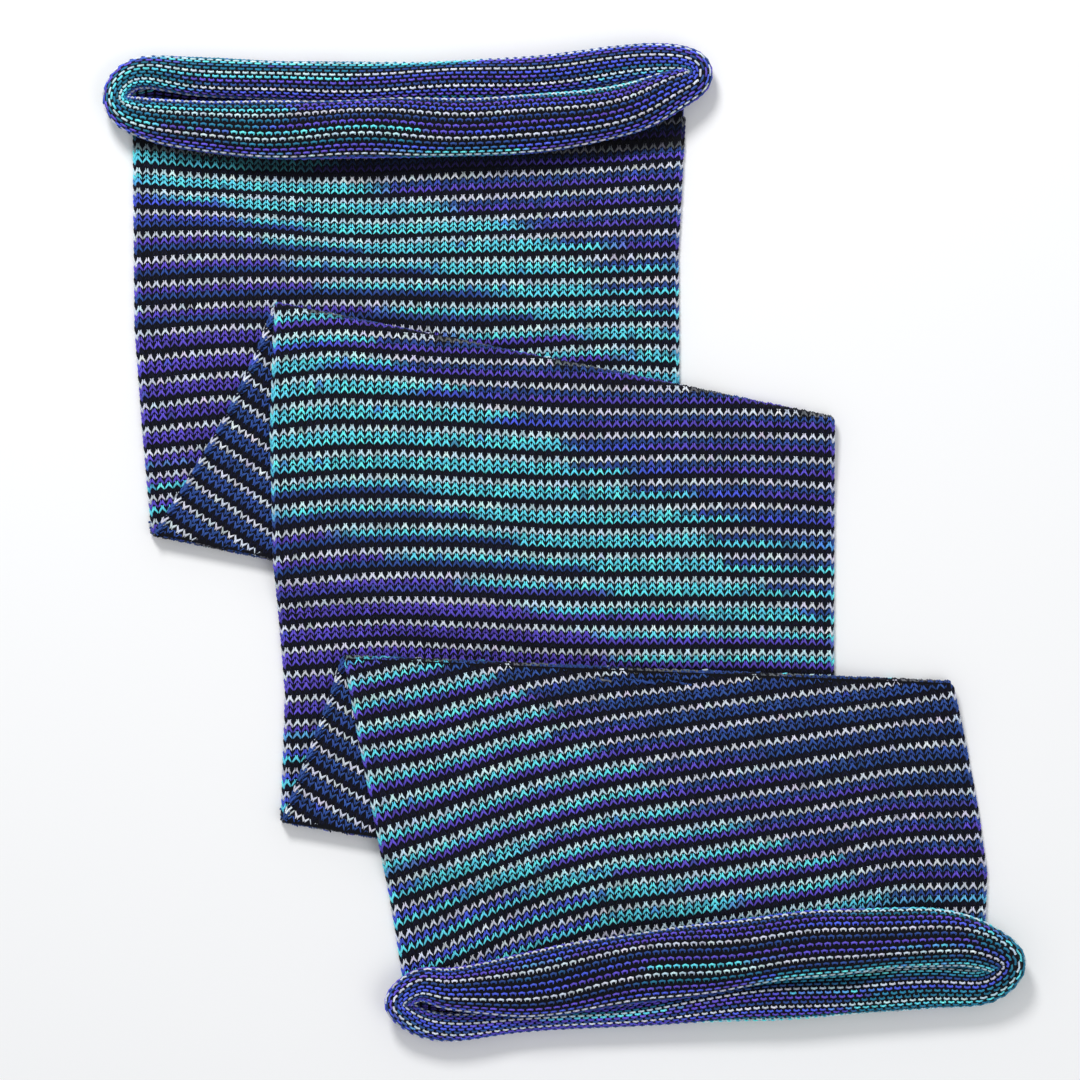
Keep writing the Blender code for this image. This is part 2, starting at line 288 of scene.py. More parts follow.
def flat_point(leg, s, c):
    """Layout x, y (mm) and how far the side has rolled down (mm) at stitch s of
    course c.  Past either side the wall turns round a small radius."""
    left, right = SIDES[leg]
    y = np.full_like(s, (left[0][1] + left[-1][1]) / 2)
    n = STITCHES[leg]
    down = np.zeros_like(s)
    for _ in range(16):
        xl, xr = side_x(left, y), side_x(right, y)
        wide = xr - xl
        run = s / n * wide
        phi_l, phi_r = (SIDE_R - run) / SIDE_R, (run - wide + SIDE_R) / SIDE_R
        pl, pr = np.clip(phi_l, 0, np.pi), np.clip(phi_r, 0, np.pi)
        xo = np.where(phi_l > 0, SIDE_R - SIDE_R * np.sin(pl) + np.maximum(phi_l - np.pi, 0) * SIDE_R,
                      np.where(phi_r > 0, wide - SIDE_R + SIDE_R * np.sin(pr)
                               - np.maximum(phi_r - np.pi, 0) * SIDE_R, run))
        down = np.where(phi_l > 0, SIDE_R * (1 - np.cos(pl)),
                        np.where(phi_r > 0, SIDE_R * (1 - np.cos(pr)), 0))
        x = xl + xo
        y_new = (543.5 - row_height(leg, c, x / UNIT + 566.0)) * UNIT
        y = y + 0.8 * (y_new - y)
    return x, y, down


def mapped(leg, s, c, wall, fold=None):
    """World points (mm) of the middle of a leg's upper (+1) or lower (-1) wall.
    fold is (line, sign, way): the wall is carried round that fold."""
    x, y, down = flat_point(leg, s, c)
    if wall > 0:
        z = base(leg, x, y) + LIFT + WALL / 2 - down
    else:
        z = base(leg, x, y) + WALL / 2 + down
    if fold is not None:
        (xa, ya), (xb, yb), sign = fold
        dx, dy = xb - xa, yb - ya
        size = np.hypot(dx, dy)
        nx, ny = dy / size * sign, -dx / size * sign      # outwards from the leg
        d = (x - xa) * nx + (y - ya) * ny                 # past the fold line
        t = d + FOLD_R
        r = FOLD_R - WALL / 2
        phi = np.clip(t / r, 0, np.pi)
        moved = -FOLD_R + r * np.sin(phi) - np.maximum(t - np.pi * r, 0)
        x = np.where(t > 0, x + nx * (moved - d), x)
        y = np.where(t > 0, y + ny * (moved - d), y)
        z = np.where(t > 0, z - r * (1 - np.cos(phi)) * (1 if wall > 0 else -1), z)
    return np.stack([x - CENTRE[0], y - CENTRE[1], z], -1)


# ------------------------------------------------------------------ colours --
def lin(r, g, b):
    c = np.array([r, g, b], float) / 255
    return np.where(c < 0.04045, c / 12.92, ((c + 0.055) / 1.055) ** 2.4)


CYAN, PALE = lin(106, 232, 252), lin(176, 246, 252)
BLUE, VIOLET = lin(80, 98, 222), lin(100, 84, 204)
SLATE, NAVY = lin(52, 84, 158), lin(8, 12, 36)
WHITE = lin(214, 220, 234)
TEAL = lin(46, 132, 166)


def pick(mask, a, b):
    """Mix of two colours; mask is true or false, or a share from 0 to 1."""
    m = np.asarray(mask, float)[:, None]
    return a * m + b * (1 - m)


def past(v, limit, run):
    """0 below a limit, 1 above it, over a run of that length."""
    return smooth((v - limit) / run + 0.5)


def span(v, low, high, run):
    return past(v, low, run) * (1 - past(v, high, run))


def between(v, pairs):
    p = np.array(pairs, float)
    return np.interp(v, p[:, 0], p[:, 1])


def colour(leg, c, x, y):
    """Colour of each stitch: c its whole course number, x its plan x."""
    n = len(c)
    kind = np.mod(np.round(c), 4).astype(int)
    r = c / 4.0
    wob = RNG.normal(0, 1, n)
    by_course = np.sin(c * 12.9898 + 4.1) * 43758.5453
    by_course = 2 * (by_course - np.floor(by_course)) - 1
    rj = r + 0.04 * wob
    xj = x + 5 * wob + 22 * by_course
    white = np.tile(WHITE, (n, 1))
    a = np.tile(SLATE, (n, 1))
    b = np.tile(SLATE, (n, 1))
    if leg == "leg1":
        lo = between(rj, ((0, 60), (1.3, 100), (2, 150), (2.8, 235), (4, 245), (5, 265),
                          (6, 330), (7, 372), (8, 430), (9, 470), (10, 520), (14, 640)))
        hi = between(rj, ((0, 320), (1, 345), (2, 430), (3, 500), (4, 530), (5, 565),
                          (6, 600), (7, 620), (8, 640), (9, 662), (10, 705)))
        cy = span(xj, lo, hi, 42)
        before = pick(past(r, 3.6, 1.2), VIOLET, BLUE)
        a = pick(cy, CYAN, pick(xj > (lo + hi) / 2, SLATE, before))
        lo = between(rj, ((0, 60), (1, 90), (2, 150), (3, 290), (4, 335), (5, 375),
                          (6, 480), (7, 520), (8, 560), (9, 640), (14, 680)))
        hi = between(rj, ((0, 320), (1, 325), (2, 400), (3, 480), (4, 560), (5, 640),
                          (6, 690), (8, 720)))
        cb = np.maximum(span(xj, lo, hi, 42), past(rj, 13.6, 0.5) * (1 - past(x, 190, 30)))
        before = pick(past(r, 8, 1.5), VIOLET, pick(past(r, 3.3, 1.0), SLATE, BLUE))
        b = pick(cb, CYAN, pick(xj > (lo + hi) / 2, VIOLET, before))
        pale = cy
    elif leg == "leg3":
        lo = between(xj, ((270, -1), (330, 0.3), (420, 2.5), (520, 4.5), (640, 7.5),
                          (740, 10), (800, 12.3), (835, 13.2)))
        hi = between(xj, ((270, 8.3), (420, 10.3), (520, 12), (640, 14.3), (835, 18)))
        cy = span(rj, lo, hi, 0.55)
        a = pick(cy, CYAN, pick(r < (lo + hi) / 2, SLATE, pick(past(r, 18, 1), BLUE, VIOLET)))
        lo = between(xj, ((270, 2), (420, 3.7), (520, 5), (600, 6), (680, 7.4), (800, 9.2),
                          (835, 9.6)))
        hi = between(xj, ((270, 6.5), (420, 7.4), (520, 9), (600, 11), (680, 12.5),
                          (800, 13.2), (835, 13.5)))
        cb = np.maximum(span(rj, lo, hi, 0.55), past(rj, 17.5, 0.5) * (1 - past(x, 330, 40)))
        near = pick(past(rj, lo - 1.1, 0.6), BLUE, VIOLET)
        b = pick(cb, CYAN, pick(r < (lo + hi) / 2, near,
                                pick(past(rj, 11.5, 1.0), VIOLET, SLATE)))
        pale = cy
    elif leg == "leg5":
        lo = between(xj, ((350, -2), (430, 0.5), (470, 2.6), (505, 3.9), (560, 6.0),
                          (600, 7.4), (650, 9), (740, 11), (830, 13.5), (900, 15),
                          (960, 16.5)))
        hi = between(xj, ((350, 9.2), (425, 10), (470, 11), (520, 12), (600, 13.5),
                          (650, 15), (700, 18)))
        cy = span(rj, lo, hi, 0.7)
        a = pick(cy, CYAN, pick(r < (lo + hi) / 2, SLATE, BLUE))
        lo = between(xj, ((350, 9.3), (430, 9.6), (500, 10.3), (560, 11.4), (600, 12.7),
                          (700, 14), (800, 15.5)))
        vlo = between(xj, ((350, 1.3), (450, 2.8), (600, 5.8), (700, 7.5), (820, 9.5),
                           (900, 11), (960, 11.5)))
        cb = span(rj, lo, lo + 5, 0.6)
        b = pick(cb, CYAN, pick(past(rj, vlo, 0.8), VIOLET, SLATE))
        pale = cy
    elif leg in ("leg2", "leg4"):
        far = x > (420 if leg == "leg2" else 470)
        cy = far * past(np.abs(np.sin(x * 0.012 + r * 0.5)), 0.72, 0.2)
        a = pick(cy, CYAN, SLATE)
        b = pick(far * (1 - cy), VIOLET, SLATE)
        pale = cy
    else:
        # the rims: long colour runs that change from course to course
        phase = x * 0.0105 + np.round(r) * 1.7 + (0.0 if leg == "rim1" else 2.2)
        run = np.sin(phase) + 0.45 * np.sin(2.3 * phase + 1.0) + 0.08 * wob
        if leg == "rim1":
            bias = between(x, ((100, 0.5), (220, 0.75), (420, 0.25), (520, -0.7), (720, -1.2)))
            bias = bias + 0.6 * past(y, 200.0, 6.0)
        else:
            bias = between(x, ((380, -0.9), (620, -0.3), (760, 0.5), (900, 1.3), (1030, 2.0)))
        cy = past(run + bias, 0.85, 0.5)
        a = pick(cy, 0.95 * CYAN, pick(past(run, -0.3, 0.6), VIOLET, BLUE)) * 1.1
        b = pick(past(run + bias, 1.2, 0.5), TEAL, pick(past(run, 0.2, 0.5), BLUE, VIOLET)) * 1.1
        pale = cy
    white = pick(pale, 0.62 * WHITE + 0.38 * PALE, white)
    # a few stitches of the neighbouring hue, as the dye runs out
    slip = RNG.random(n)
    a = pick(0.6 * (slip < 0.03), BLUE, a)
    b = pick(0.6 * (slip > 0.97), SLATE, b)
    dark = np.tile(NAVY, (n, 1))
    if leg in ("rim1", "rim2"):
        dark = pick(pale, TEAL, SLATE) * 0.9
    out = np.select([kind[:, None] == 0, kind[:, None] == 1, kind[:, None] == 2],
                    [white, a, b], dark)
    if leg == "leg1":
        # the first courses below the rolled rim are darkened to as little as 0.14 of their colour: painted
        # shadow of the rim's lip
        edge = between(x, ((130, 146), (193, 160), (280, 175), (370, 175), (450, 169),
                           (600, 158), (690, 147)))
        out = out * (0.14 + 0.86 * past(543.5 - y / UNIT, edge, 7.0))[:, None]
    light = 1 + 0.13 * RNG.normal(0, 1, n)
    tilt = 1 + 0.035 * RNG.normal(0, 1, (n, 3))
    return np.clip(out * np.clip(light, 0.6, 1.45)[:, None] * tilt, 0, 1)


# ---------------------------------------------------------------- materials --
def yarn_material(name, sheen=0.06, rough=0.82):
    mat = bpy.data.materials.new(name)
    mat.use_nodes = True
    t = mat.node_tree
    shader = t.nodes["Principled BSDF"]
    att = t.nodes.new("ShaderNodeAttribute")
    att.attribute_name = "yarn"
    co = t.nodes.new("ShaderNodeTexCoord")
    fibre = t.nodes.new("ShaderNodeTexNoise")
    fibre.inputs["Scale"].default_value = 1900.0
    fibre.inputs["Detail"].default_value = 3.0
    fibre.inputs["Roughness"].default_value = 0.6
    t.links.new(co.outputs["Object"], fibre.inputs["Vector"])
    shade = t.nodes.new("ShaderNodeMapRange")
    shade.inputs["From Min"].default_value = 0.3
    shade.inputs["From Max"].default_value = 0.7
    shade.inputs["To Min"].default_value = 0.62
    shade.inputs["To Max"].default_value = 1.3
    t.links.new(fibre.outputs["Fac"], shade.inputs["Value"])
    mix = t.nodes.new("ShaderNodeVectorMath")
    mix.operation = "SCALE"
    t.links.new(att.outputs["Color"], mix.inputs[0])
    t.links.new(shade.outputs["Result"], mix.inputs["Scale"])
    t.links.new(mix.outputs["Vector"], shader.inputs["Base Color"])
    ro = t.nodes.new("ShaderNodeMapRange")
    ro.inputs["To Min"].default_value = rough - 0.1
    ro.inputs["To Max"].default_value = min(rough + 0.14, 1.0)
    t.links.new(fibre.outputs["Fac"], ro.inputs["Value"])
    t.links.new(ro.outputs["Result"], shader.inputs["Roughness"])
    bump = t.nodes.new("ShaderNodeBump")
    bump.inputs["Strength"].default_value = 0.5
    bump.inputs["Distance"].default_value = 0.00025
    t.links.new(fibre.outputs["Fac"], bump.inputs["Height"])
    t.links.new(bump.outputs["Normal"], shader.inputs["Normal"])
    shader.inputs["Sheen Weight"].default_value = sheen
    shader.inputs["Sheen Roughness"].default_value = 0.5
    shader.inputs["Specular IOR Level"].default_value = 0.16
    return mat


def lining_material(name):
    """The inside and the underside of the knit: courses and stitches from the
    two coordinates stored on the mesh."""
    mat = bpy.data.materials.new(name)
    mat.use_nodes = True
    t = mat.node_tree
    shader = t.nodes["Principled BSDF"]
    grid = t.nodes.new("ShaderNodeAttribute")
    grid.attribute_name = "grid"
    split = t.nodes.new("ShaderNodeSeparateXYZ")
    t.links.new(grid.outputs["Vector"], split.inputs["Vector"])

    def math(op, a, b=None):
        node = t.nodes.new("ShaderNodeMath")
        node.operation = op
        for i, v in enumerate((a, b)):
            if v is None:
                continue
            if isinstance(v, (int, float)):
                node.inputs[i].default_value = v
            else:
                t.links.new(v, node.inputs[i])
        return node.outputs[0]

    wale = math("PINGPONG", split.outputs["X"], 0.5)
    vee = math("ADD", split.outputs["Y"], math("MULTIPLY", wale, -1.1))
    stripe = math("FRACT", math("DIVIDE", math("ADD", vee, 400.0), 4.0))
    ramp = t.nodes.new("ShaderNodeValToRGB")
    ramp.color_ramp.interpolation = "CONSTANT"
    # the stripe colours of the inside are dimmed to between 0.6 and 0.85: painted shade of the depth seen
    # between the loops
    stops = ((0.0, WHITE * 0.75), (0.22, SLATE * 0.85), (0.5, BLUE * 0.6), (0.74, NAVY * 0.8))
    ramp.color_ramp.elements[0].position = stops[0][0]
    ramp.color_ramp.elements[0].color = (*stops[0][1], 1)
    ramp.color_ramp.elements[1].position = stops[1][0]
    ramp.color_ramp.elements[1].color = (*stops[1][1], 1)
    for pos, col in stops[2:]:
        ramp.color_ramp.elements.new(pos).color = (*col, 1)
    t.links.new(stripe, ramp.inputs["Fac"])
    # where grid z is 1 (lower side of legs 1, 3 and 5) the colour is near-black navy: painted shade under the
    # legs
    dark = t.nodes.new("ShaderNodeMix")
    dark.data_type = "RGBA"
    dark.inputs[6].default_value = (*(NAVY * 0.22), 1)
    t.links.new(ramp.outputs["Color"], dark.inputs[7])
    t.links.new(split.outputs["Z"], dark.inputs[0])
    t.links.new(dark.outputs[2], shader.inputs["Base Color"])
    bump = t.nodes.new("ShaderNodeBump")
    bump.inputs["Strength"].default_value = 0.8
    bump.inputs["Distance"].default_value = 0.0006
    cord = math("PINGPONG", vee, 0.5)
    t.links.new(math("ADD", cord, math("MULTIPLY", wale, 0.8)), bump.inputs["Height"])
    t.links.new(bump.outputs["Normal"], shader.inputs["Normal"])
    shader.inputs["Roughness"].default_value = 0.92
    shader.inputs["Specular IOR Level"].default_value = 0.2
    shader.inputs["Sheen Weight"].default_value = 0.1
    return mat


KNIT = yarn_material("striped_knit_yarn")
RIM = yarn_material("rim_knit_yarn", 0.08, 0.8)
LINING = lining_material("knit_lining")


# ------------------------------------------------------------------ meshes --
def mesh_object(name, co, faces, mat, uv=None, attrs=()):
    me = bpy.data.meshes.new(name)
    me.vertices.add(len(co))
    me.vertices.foreach_set("co", (co * 0.001).astype(np.float32).ravel())
    k = faces.shape[1]
    me.loops.add(faces.size)
    me.loops.foreach_set("vertex_index", faces.astype(np.int32).ravel())
    me.polygons.add(len(faces))
    me.polygons.foreach_set("loop_start", np.arange(0, faces.size, k, dtype=np.int32))
    me.polygons.foreach_set("use_smooth", np.ones(len(faces), bool))
    if uv is not None:
        layer = me.uv_layers.new(name="OFBake")
        layer.data.foreach_set("uv", uv.astype(np.float32).ravel())
    for key, kind, values in attrs:
        att = me.attributes.new(key, kind, "POINT")
        att.data.foreach_set("color" if kind == "FLOAT_COLOR" else "vector",
                             values.astype(np.float32).ravel())
    me.update(calc_edges=True)
    me.materials.append(mat)
    obj = bpy.data.objects.new(name, me)
    bpy.context.scene.collection.objects.link(obj)
    return obj


def yarn(name, surface, courses, s0, s1, keep, tint, mat, purl=False, points=10, sides=4,
         radius=YARN, head=1.0, closed=False, sway=0.32, tall=0.86, deep=0.45, lean=0.25, sink=0.19, shear=0.0):
    """One piece of loops.  surface(s, c) gives world points, courses are whole
    course numbers, keep(s, c) says which stitches are there, tint(s, c) colours
    them, and head is the way their heads point along c."""
    courses = np.asarray(courses, float)
    n = int(s1 - s0)
    steps = n * points
    t = 2 * np.pi * np.arange(steps + (0 if closed else 1)) / points
    local = t / (2 * np.pi)
    stitch = np.minimum(local.astype(int), n - 1)
    jig = RNG.normal(0, 0.035, (len(courses), n))
    bend = jig[:, stitch]
    s = s0 + local[None] + sway * np.sin(2 * t)[None] * (1 + bend) + shear * courses[:, None]
    c = courses[:, None] - head * tall * (1 + 0.6 * bend) * np.cos(t)[None]
    if purl:
        # only the heads stand out, as a row of short dashes
        lift = deep * (2 * ((1 - np.cos(t)) / 2) ** 2 - 1)[None] - sink
    else:
        # only the two legs of a loop stand out, most of all near its foot
        lift = (lean * 2 * np.cos(t) * np.abs(np.sin(t)) - deep * np.cos(2 * t))[None] - sink
    lift = np.broadcast_to(lift, s.shape) + 0.05 * RNG.normal(0, 1, (len(courses), n))[:, stitch]
    shape = s.shape
    sf, cf = s.ravel(), c.ravel()
    p = surface(sf, cf)
    e = 0.05
    ps = (surface(sf + e, cf) - p) / e
    pc = (surface(sf, cf + e) - p) / e
    normal = np.cross(ps, pc)
    flip = -1.0 if UPSIDE[0] else 1.0
    normal *= flip / np.maximum(np.linalg.norm(normal, axis=1), 1e-9)[:, None]
    p = (p + normal * lift.ravel()[:, None]).reshape(*shape, 3)
    normal = normal.reshape(*shape, 3)
    if closed:
        tan = np.roll(p, -1, 1) - np.roll(p, 1, 1)
    else:
        tan = np.gradient(p, axis=1)
    tan /= np.maximum(np.linalg.norm(tan, axis=2), 1e-9)[..., None]
    side = np.cross(tan, normal)
    side /= np.maximum(np.linalg.norm(side, axis=2), 1e-9)[..., None]
    up = np.cross(side, tan)
    angle = 2 * np.pi * np.arange(sides) / sides
    ring = (p[..., None, :] + radius * (np.cos(angle)[:, None] * side[..., None, :]
                                        + np.sin(angle)[:, None] * up[..., None, :]))
    rows, cols = shape
    index = np.arange(rows * cols * sides).reshape(rows, cols, sides)
    k0 = np.arange(sides)
    k1 = (k0 + 1) % sides
    last = steps if closed else steps
    i0 = np.arange(last)
    i1 = (i0 + 1) % cols
    quads = np.stack([index[:, i0][:, :, k0], index[:, i1][:, :, k0],
                      index[:, i1][:, :, k1], index[:, i0][:, :, k1]], -1)
    sc = s0 + np.arange(n) + 0.5
    gs, gc = np.meshgrid(sc, courses)
    mask = keep(gs.ravel(), gc.ravel()).reshape(gs.shape)
    full = np.repeat(mask, points, 1)
    quads = quads[full].reshape(-1, 4)
    tint_stitch = tint(gs.ravel(), gc.ravel()).reshape(rows, n, 3)
    col = tint_stitch[:, stitch]
    col = np.repeat(col[:, :, None, :], sides, 2)
    col = np.concatenate([col, np.ones((*col.shape[:3], 1))], -1).reshape(-1, 4)
    ui = (i0 / steps)[None, :, None] * np.ones((rows, 1, sides))
    uj = ((i0 + 1) / steps)[None, :, None] * np.ones((rows, 1, sides))
    v0 = (np.arange(rows)[:, None, None] + (k0 + 0.04) / (sides + 0.2)) / rows * np.ones((1, last, 1))
    v1 = (np.arange(rows)[:, None, None] + (k0 + 1.04) / (sides + 0.2)) / rows * np.ones((1, last, 1))
    uv = np.stack([np.stack([ui, v0], -1), np.stack([uj, v0], -1),
                   np.stack([uj, v1], -1), np.stack([ui, v1], -1)], 3)[full].reshape(-1, 2)
    used = np.unique(quads)
    remap = np.full(rows * cols * sides, -1)
    remap[used] = np.arange(len(used))
    co = ring.reshape(-1, 3)[used]
    return mesh_object(name, co, remap[quads], mat, uv, (("yarn", "FLOAT_COLOR", col[used]),))


UPSIDE = [False]


def inside(leg, top=None, bottom=None):
    """keep() for a leg: stitches between the line top and the line bottom, each
    (line, margin) with the margin in mm past that line."""
    def keep(s, c):
        x, y, _ = flat_point(leg, s, c)
        ok = np.ones(len(s), bool)
        for line, sign, margin in filter(None, (top, bottom)):
            (xa, ya), (xb, yb) = line
            size = np.hypot(xb - xa, yb - ya)
            d = ((x - xa) * (yb - ya) - (y - ya) * (xb - xa)) / size * sign
            ok &= d < margin
        return ok
    return keep


def tints(leg):
    def tint(s, c):
        x, y, _ = flat_point(leg, s, c)
        return colour(leg, c, x / UNIT + 566.0, y)
    return tint


def lining(name, leg, rows, cols, top=0.0, bottom=1.0):
    """The flattened tube under the loops: a closed thin-walled section ruled
    between the two side edges."""
    left, right = (np.array(p) for p in SIDES[leg])
    ts = np.linspace(top, bottom, rows + 1)
    k = np.linspace(0, len(left) - 1, len(left))
    l = np.stack([np.interp(ts * (len(left) - 1), k, left[:, i]) for i in (0, 1)], 1)
    r = np.stack([np.interp(ts * (len(right) - 1), k, right[:, i]) for i in (0, 1)], 1)
    wide = np.linalg.norm(r - l, axis=1).mean()
    hr = 1.25
    arc = np.linspace(np.pi / 2, -np.pi / 2, 6)[1:-1]
    u = np.linspace(hr + 0.6, wide - hr - 0.6, cols + 1)
    off_x = np.concatenate([u, wide - hr - 0.6 + hr * np.cos(arc), u[::-1],
                            hr + 0.6 - hr * np.cos(arc)])
    off_z = np.concatenate([np.full(cols + 1, hr), hr * np.sin(arc), np.full(cols + 1, -hr),
                            -hr * np.sin(arc)])
    share = off_x / wide
    x = l[:, None, 0] + (r - l)[:, None, 0] * share
    y = l[:, None, 1] + (r - l)[:, None, 1] * share
    b = base(leg, x, y)
    z = b + LIFT - 0.15 + off_z[None]
    m = x.shape[1]
    co = np.stack([x - CENTRE[0], y - CENTRE[1], z], -1).reshape(-1, 3)
    idx = np.arange((rows + 1) * m).reshape(rows + 1, m)
    nxt = np.roll(idx, -1, 1)
    faces = np.stack([idx[:-1], nxt[:-1], nxt[1:], idx[1:]], -1).reshape(-1, 4)[:, ::-1]
    c = course_at(leg, x.ravel() / UNIT + 566.0, 543.5 - y.ravel() / UNIT)
    stitch = np.broadcast_to(share * STITCHES[leg], x.shape).ravel()
    # marks the lower side of legs 1, 3 and 5, which the lining material turns near-black as painted shade under
    # the legs
    low = (np.broadcast_to(off_z[None], x.shape).ravel() < 0.5).astype(float)
    if leg in ("leg2", "leg4"):
        low = 0 * low
    grid = np.stack([stitch, c, low], 1)
    return mesh_object(name, co, faces, LINING, None, (("grid", "FLOAT_VECTOR", grid),))


# ---------------------------------------------------------------- the legs --
# side of a fold line that a leg lies on: +1 when the leg is below the line in
# plan (its top fold), -1 when it is above (its bottom fold)
def ruled(line):
    return line


BODY = {"leg1": "upper_panel", "leg2": "upper_return", "leg3": "middle_panel",
        "leg4": "lower_return", "leg5": "lower_panel"}
made = {leg: [] for leg in SIDES}


def leg_piece(name, leg, wall, courses, top, bottom, head, fold=None, **kw):
    UPSIDE[0] = not (wall < 0)
    s0, s1 = kw.pop("span", (-1, STITCHES[leg] + 1))
    obj = yarn(name, lambda s, c: mapped(leg, s, c, wall, fold), courses, s0, s1,
               inside(leg, top, bottom), tints(leg), KNIT, head=head, **kw)
    made[leg].append(obj)
    return obj


EDGE = FOLD_R + 0.2         # the loops of a leg stop here, before the bend begins
END = np.pi * (FOLD_R - WALL / 2) - FOLD_R + 1.5
TOP1 = ((-250.0, 190.0), (120.0, 190.0))
BOT5 = ((-150.0, -205.0), (0.0, -198.0))

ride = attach
# leg 1, front
for i, (a, b) in enumerate(((-4, 34), (34, 92))):
    o = leg_piece(f"upper_panel_knit_{i + 1}", "leg1", 1, range(a, b), (TOP1, -1, 6.0),
                  (F1, 1, -2.6), 1.0)
    ride(o, "upper_panel")
# leg 2, upper wall (its heads point up the plan), and the lower wall
leg2 = range(-56, 24)
o = leg_piece("upper_return_knit_top", "leg2", 1, leg2, (F2, -1, -3.0), (F1, 1, -EDGE + 1.2), -1.0,
              fold=(F1[0], F1[1], 1))
ride(o, "upper_return")
o = leg_piece("upper_return_knit_under", "leg2", -1, leg2, (F2, -1, -2.4), (F1, 1, -2.4), -1.0,
              points=8, sides=3, sway=0.3, deep=0.30, lean=0.12, sink=0.0)
ride(o, "upper_return")
# leg 3, front
for i, (a, b) in enumerate(((-8, 28), (28, 58), (58, 100))):
    o = leg_piece(f"middle_panel_knit_{i + 1}", "leg3", 1, range(a, b), (F2, -1, -EDGE + 1.2),
                  (F3, 1, -2.6), 1.0, fold=(F2[0], F2[1], -1))
    ride(o, "middle_panel")
# leg 4
leg4 = range(-52, 30)
o = leg_piece("lower_return_knit_top", "leg4", 1, leg4, (F4, -1, -3.0), (F3, 1, -EDGE + 1.2), -1.0,
              fold=(F3[0], F3[1], 1))
ride(o, "lower_return")
o = leg_piece("lower_return_knit_under", "leg4", -1, leg4, (F4, -1, -2.4), (F3, 1, -2.4), -1.0,
              points=8, sides=3, sway=0.3, deep=0.30, lean=0.12, sink=0.0)
ride(o, "lower_return")
# leg 5, front
for i, (a, b) in enumerate(((-2, 34), (34, 68))):
    o = leg_piece(f"lower_panel_knit_{i + 1}", "leg5", 1, range(a, b), (F4, -1, -EDGE + 1.2),
                  (BOT5, 1, 0.0), 1.0, fold=(F4[0], F4[1], -1))
    ride(o, "lower_panel")

# the four folds
HINGE_Z = 5.55


def world(p, z=HINGE_Z):
    return Vector(((p[0] - CENTRE[0]) / 1000, (p[1] - CENTRE[1]) / 1000, z / 1000))


def fold_piece(name, leg, line, sign, courses, head):
    (xa, ya), (xb, yb) = line
    fold = (line[0], line[1], sign)
    UPSIDE[0] = True
    keep_in = inside(leg, (line, sign, END))

    def keep(s, c):
        x, y, _ = flat_point(leg, s, c)
        size = np.hypot(xb - xa, yb - ya)
        d = ((x - xa) * (yb - ya) - (y - ya) * (xb - xa)) / size * sign
        return keep_in(s, c) & (d >= -EDGE + 1.2)

    # the yarn round each bend is darkened, white courses to 0.22 and the rest to 0.75 of their colour: painted
    # shade along the fold
    def tint(s, c):
        pale = np.mod(np.round(c), 4) == 0
        return tints(leg)(s, c) * np.where(pale, 0.22, 0.75)[:, None]

    obj = yarn(name, lambda s, c: mapped(leg, s, c, 1, fold), courses, 0,
               STITCHES[leg], keep, tint, KNIT, head=head)
    made[leg].append(obj)
    # the dark lining inside the bend
    size = np.hypot(xb - xa, yb - ya)
    nx, ny = (yb - ya) / size * sign, -(xb - xa) / size * sign
    u = np.linspace(0.004, 0.996, 90)
    phi = np.linspace(-0.5, np.pi + 0.5, 15)
    r = FOLD_R - WALL / 2 + 0.2
    x0 = xa + (xb - xa) * u - nx * FOLD_R
    y0 = ya + (yb - ya) * u - ny * FOLD_R
    z0 = base(leg, x0, y0) + LIFT + WALL / 2 + 0.15
    bent = np.clip(phi, 0, np.pi)
    reach = r * np.sin(bent) + np.where(phi < 0, phi * r, 0) - np.maximum(phi - np.pi, 0) * r
    co = np.stack([x0[:, None] + nx * reach - CENTRE[0], y0[:, None] + ny * reach - CENTRE[1],
                   z0[:, None] - r * (1 - np.cos(bent))], -1).reshape(-1, 3)
    idx = np.arange(len(u) * len(phi)).reshape(len(u), len(phi))
    faces = np.stack([idx[:-1, :-1], idx[1:, :-1], idx[1:, 1:], idx[:-1, 1:]], -1).reshape(-1, 4)
    if sign > 0:
        faces = faces[:, ::-1]
    grid = np.stack([np.repeat(u * STITCHES[leg], len(phi)), np.tile(phi, len(u)),
                     np.zeros(len(co))], 1)
    strip = mesh_object(name + "_lining", co, faces, LINING, None,
                        (("grid", "FLOAT_VECTOR", grid),))
    made[leg].append(strip)
    for piece in (obj, strip):
        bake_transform(piece)
    return obj


fold_piece("upper_pleat_bend", "leg2", F1, 1, range(-20, 40), -1.0)
fold_piece("upper_pleat_return_bend", "leg3", F2, -1, range(-16, 26), 1.0)
fold_piece("lower_pleat_bend", "leg4", F3, 1, range(-20, 42), -1.0)
fold_piece("lower_pleat_return_bend", "leg5", F4, -1, range(-12, 34), 1.0)


